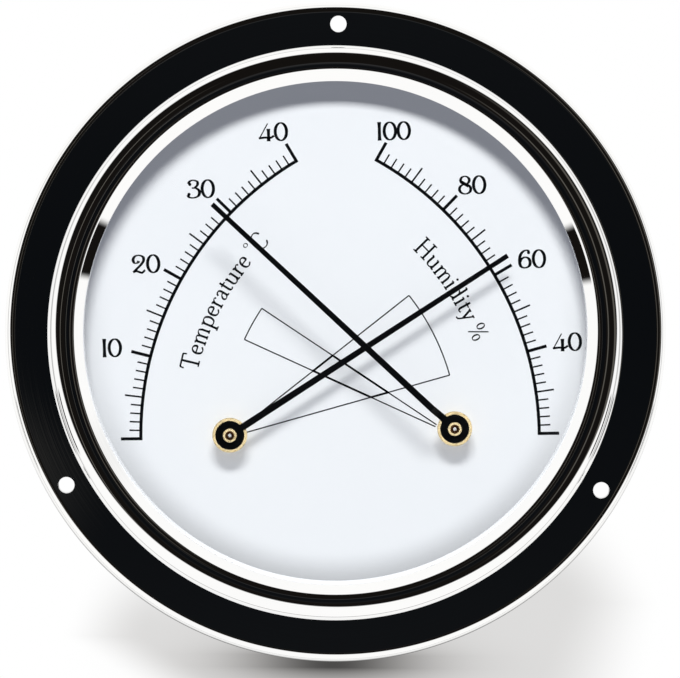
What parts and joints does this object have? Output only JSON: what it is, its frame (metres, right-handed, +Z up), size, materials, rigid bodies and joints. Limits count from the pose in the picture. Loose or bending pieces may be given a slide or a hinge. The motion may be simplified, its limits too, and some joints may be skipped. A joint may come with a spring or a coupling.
{
  "type": "thermo-hygrometer",
  "caption": "Flush-mounted round thermo-hygrometer: polished flanged case, bezel ring, flat glass and a white dial with crossed thermometer and hygrometer pointers.",
  "frame": {"origin": "centre of the circle through the three screw holes, on the flange's back face, which lies on the panel", "axes": "the dial faces -Y, +X is to the right as the dial is read, and +Z is up, through the top screw hole"},
  "size_m": [0.13, 0.0402, 0.13],
  "materials": {
    "polished_chrome": "mirror-polished chrome plate",
    "clear_glass": "clear polished flat glass",
    "gasket_rubber": "matt black",
    "spacer_white": "smooth white paint",
    "dial_white": "fine matt white paint with black printing",
    "pointer_black": "satin black paint",
    "turned_brass": "fine turned brass",
    "movement_brass": "plain milled brass",
    "bright_steel": "bright turned steel",
    "bimetal_strip": "rolled strip, slightly warm in colour",
    "hair_fibre": "silky blond fibre"
  },
  "bodies": {
    "case": {"flange_ring": "polished_chrome", "case_shell": "polished_chrome", "bezel_ring": "polished_chrome", "glass": "clear_glass", "glass_gasket": "gasket_rubber", "spacer_ring": "spacer_white", "dial": "dial_white", "dial_feet": "movement_brass", "dial_foot_nuts": "movement_brass", "movement_plate": "movement_brass", "plate_screws": "bright_steel", "case_pillars": "movement_brass", "case_screws": "bright_steel", "bridge_pillars": "movement_brass", "bridge_screws": "bright_steel", "thermo_bridge": "movement_brass", "thermo_front_bush": "movement_brass", "hygro_bridge": "movement_brass", "hygro_front_bush": "movement_brass", "spring_stud": "movement_brass", "hair_bridge": "movement_brass"},
    "temperature_setting": {"thermo_regulator": "movement_brass", "thermo_regulator_washer": "bright_steel", "coil_stud": "bright_steel"},
    "thermometer": {"thermo_arbor": "bright_steel", "thermo_collet": "turned_brass", "thermo_pointer": "pointer_black", "thermo_coil_collet": "movement_brass", "bimetal_coil": "bimetal_strip"},
    "humidity_setting": {"hygro_regulator": "movement_brass", "hygro_regulator_washer": "bright_steel", "regulator_ferrule": "movement_brass"},
    "hygrometer": {"hygro_arbor": "bright_steel", "hygro_collet": "turned_brass", "hygro_pointer": "pointer_black", "hair_crank": "movement_brass", "spring_collet": "movement_brass", "tension_spring": "bright_steel"},
    "hair_end": {"crank_ferrule": "movement_brass", "hair_bundle": "hair_fibre"}
  },
  "joints": [
    {"name": "temperature_regulator", "type": "hinge", "parent": "case", "child": "temperature_setting", "pos_m": [0.0238, 0.021, -0.019], "axis": [0, 1, 0], "range_deg": [-2.5, 2.5]},
    {"name": "temperature_pointer", "type": "hinge", "parent": "temperature_setting", "child": "thermometer", "pos_m": [0.0238, 0.006, -0.019], "axis": [0, 1, 0], "range_deg": [-44.9, 16.4], "stiffness_Nm_per_rad": 0.02},
    {"name": "humidity_regulator", "type": "hinge", "parent": "case", "child": "humidity_setting", "pos_m": [-0.02161, 0.018, 0.02719], "axis": [0, -1, 0], "range_deg": [-5, 5]},
    {"name": "humidity_pointer", "type": "hinge", "parent": "case", "child": "hygrometer", "pos_m": [-0.02067, 0.006, -0.02071], "axis": [0, -1, 0], "range_deg": [-25, 29], "stiffness_Nm_per_rad": 0.006},
    {"name": "hair_stretch", "type": "slide", "parent": "case", "child": "hair_end", "axis": [-0.0384, 0, 0.9993], "range_m": [-0.0007, 0.0006], "deforming": ["hair_bundle"]}
  ],
  "couplings": [
    {"joint": "hair_stretch", "follows": "humidity_pointer", "m_per_rad": -0.0013}
  ]
}
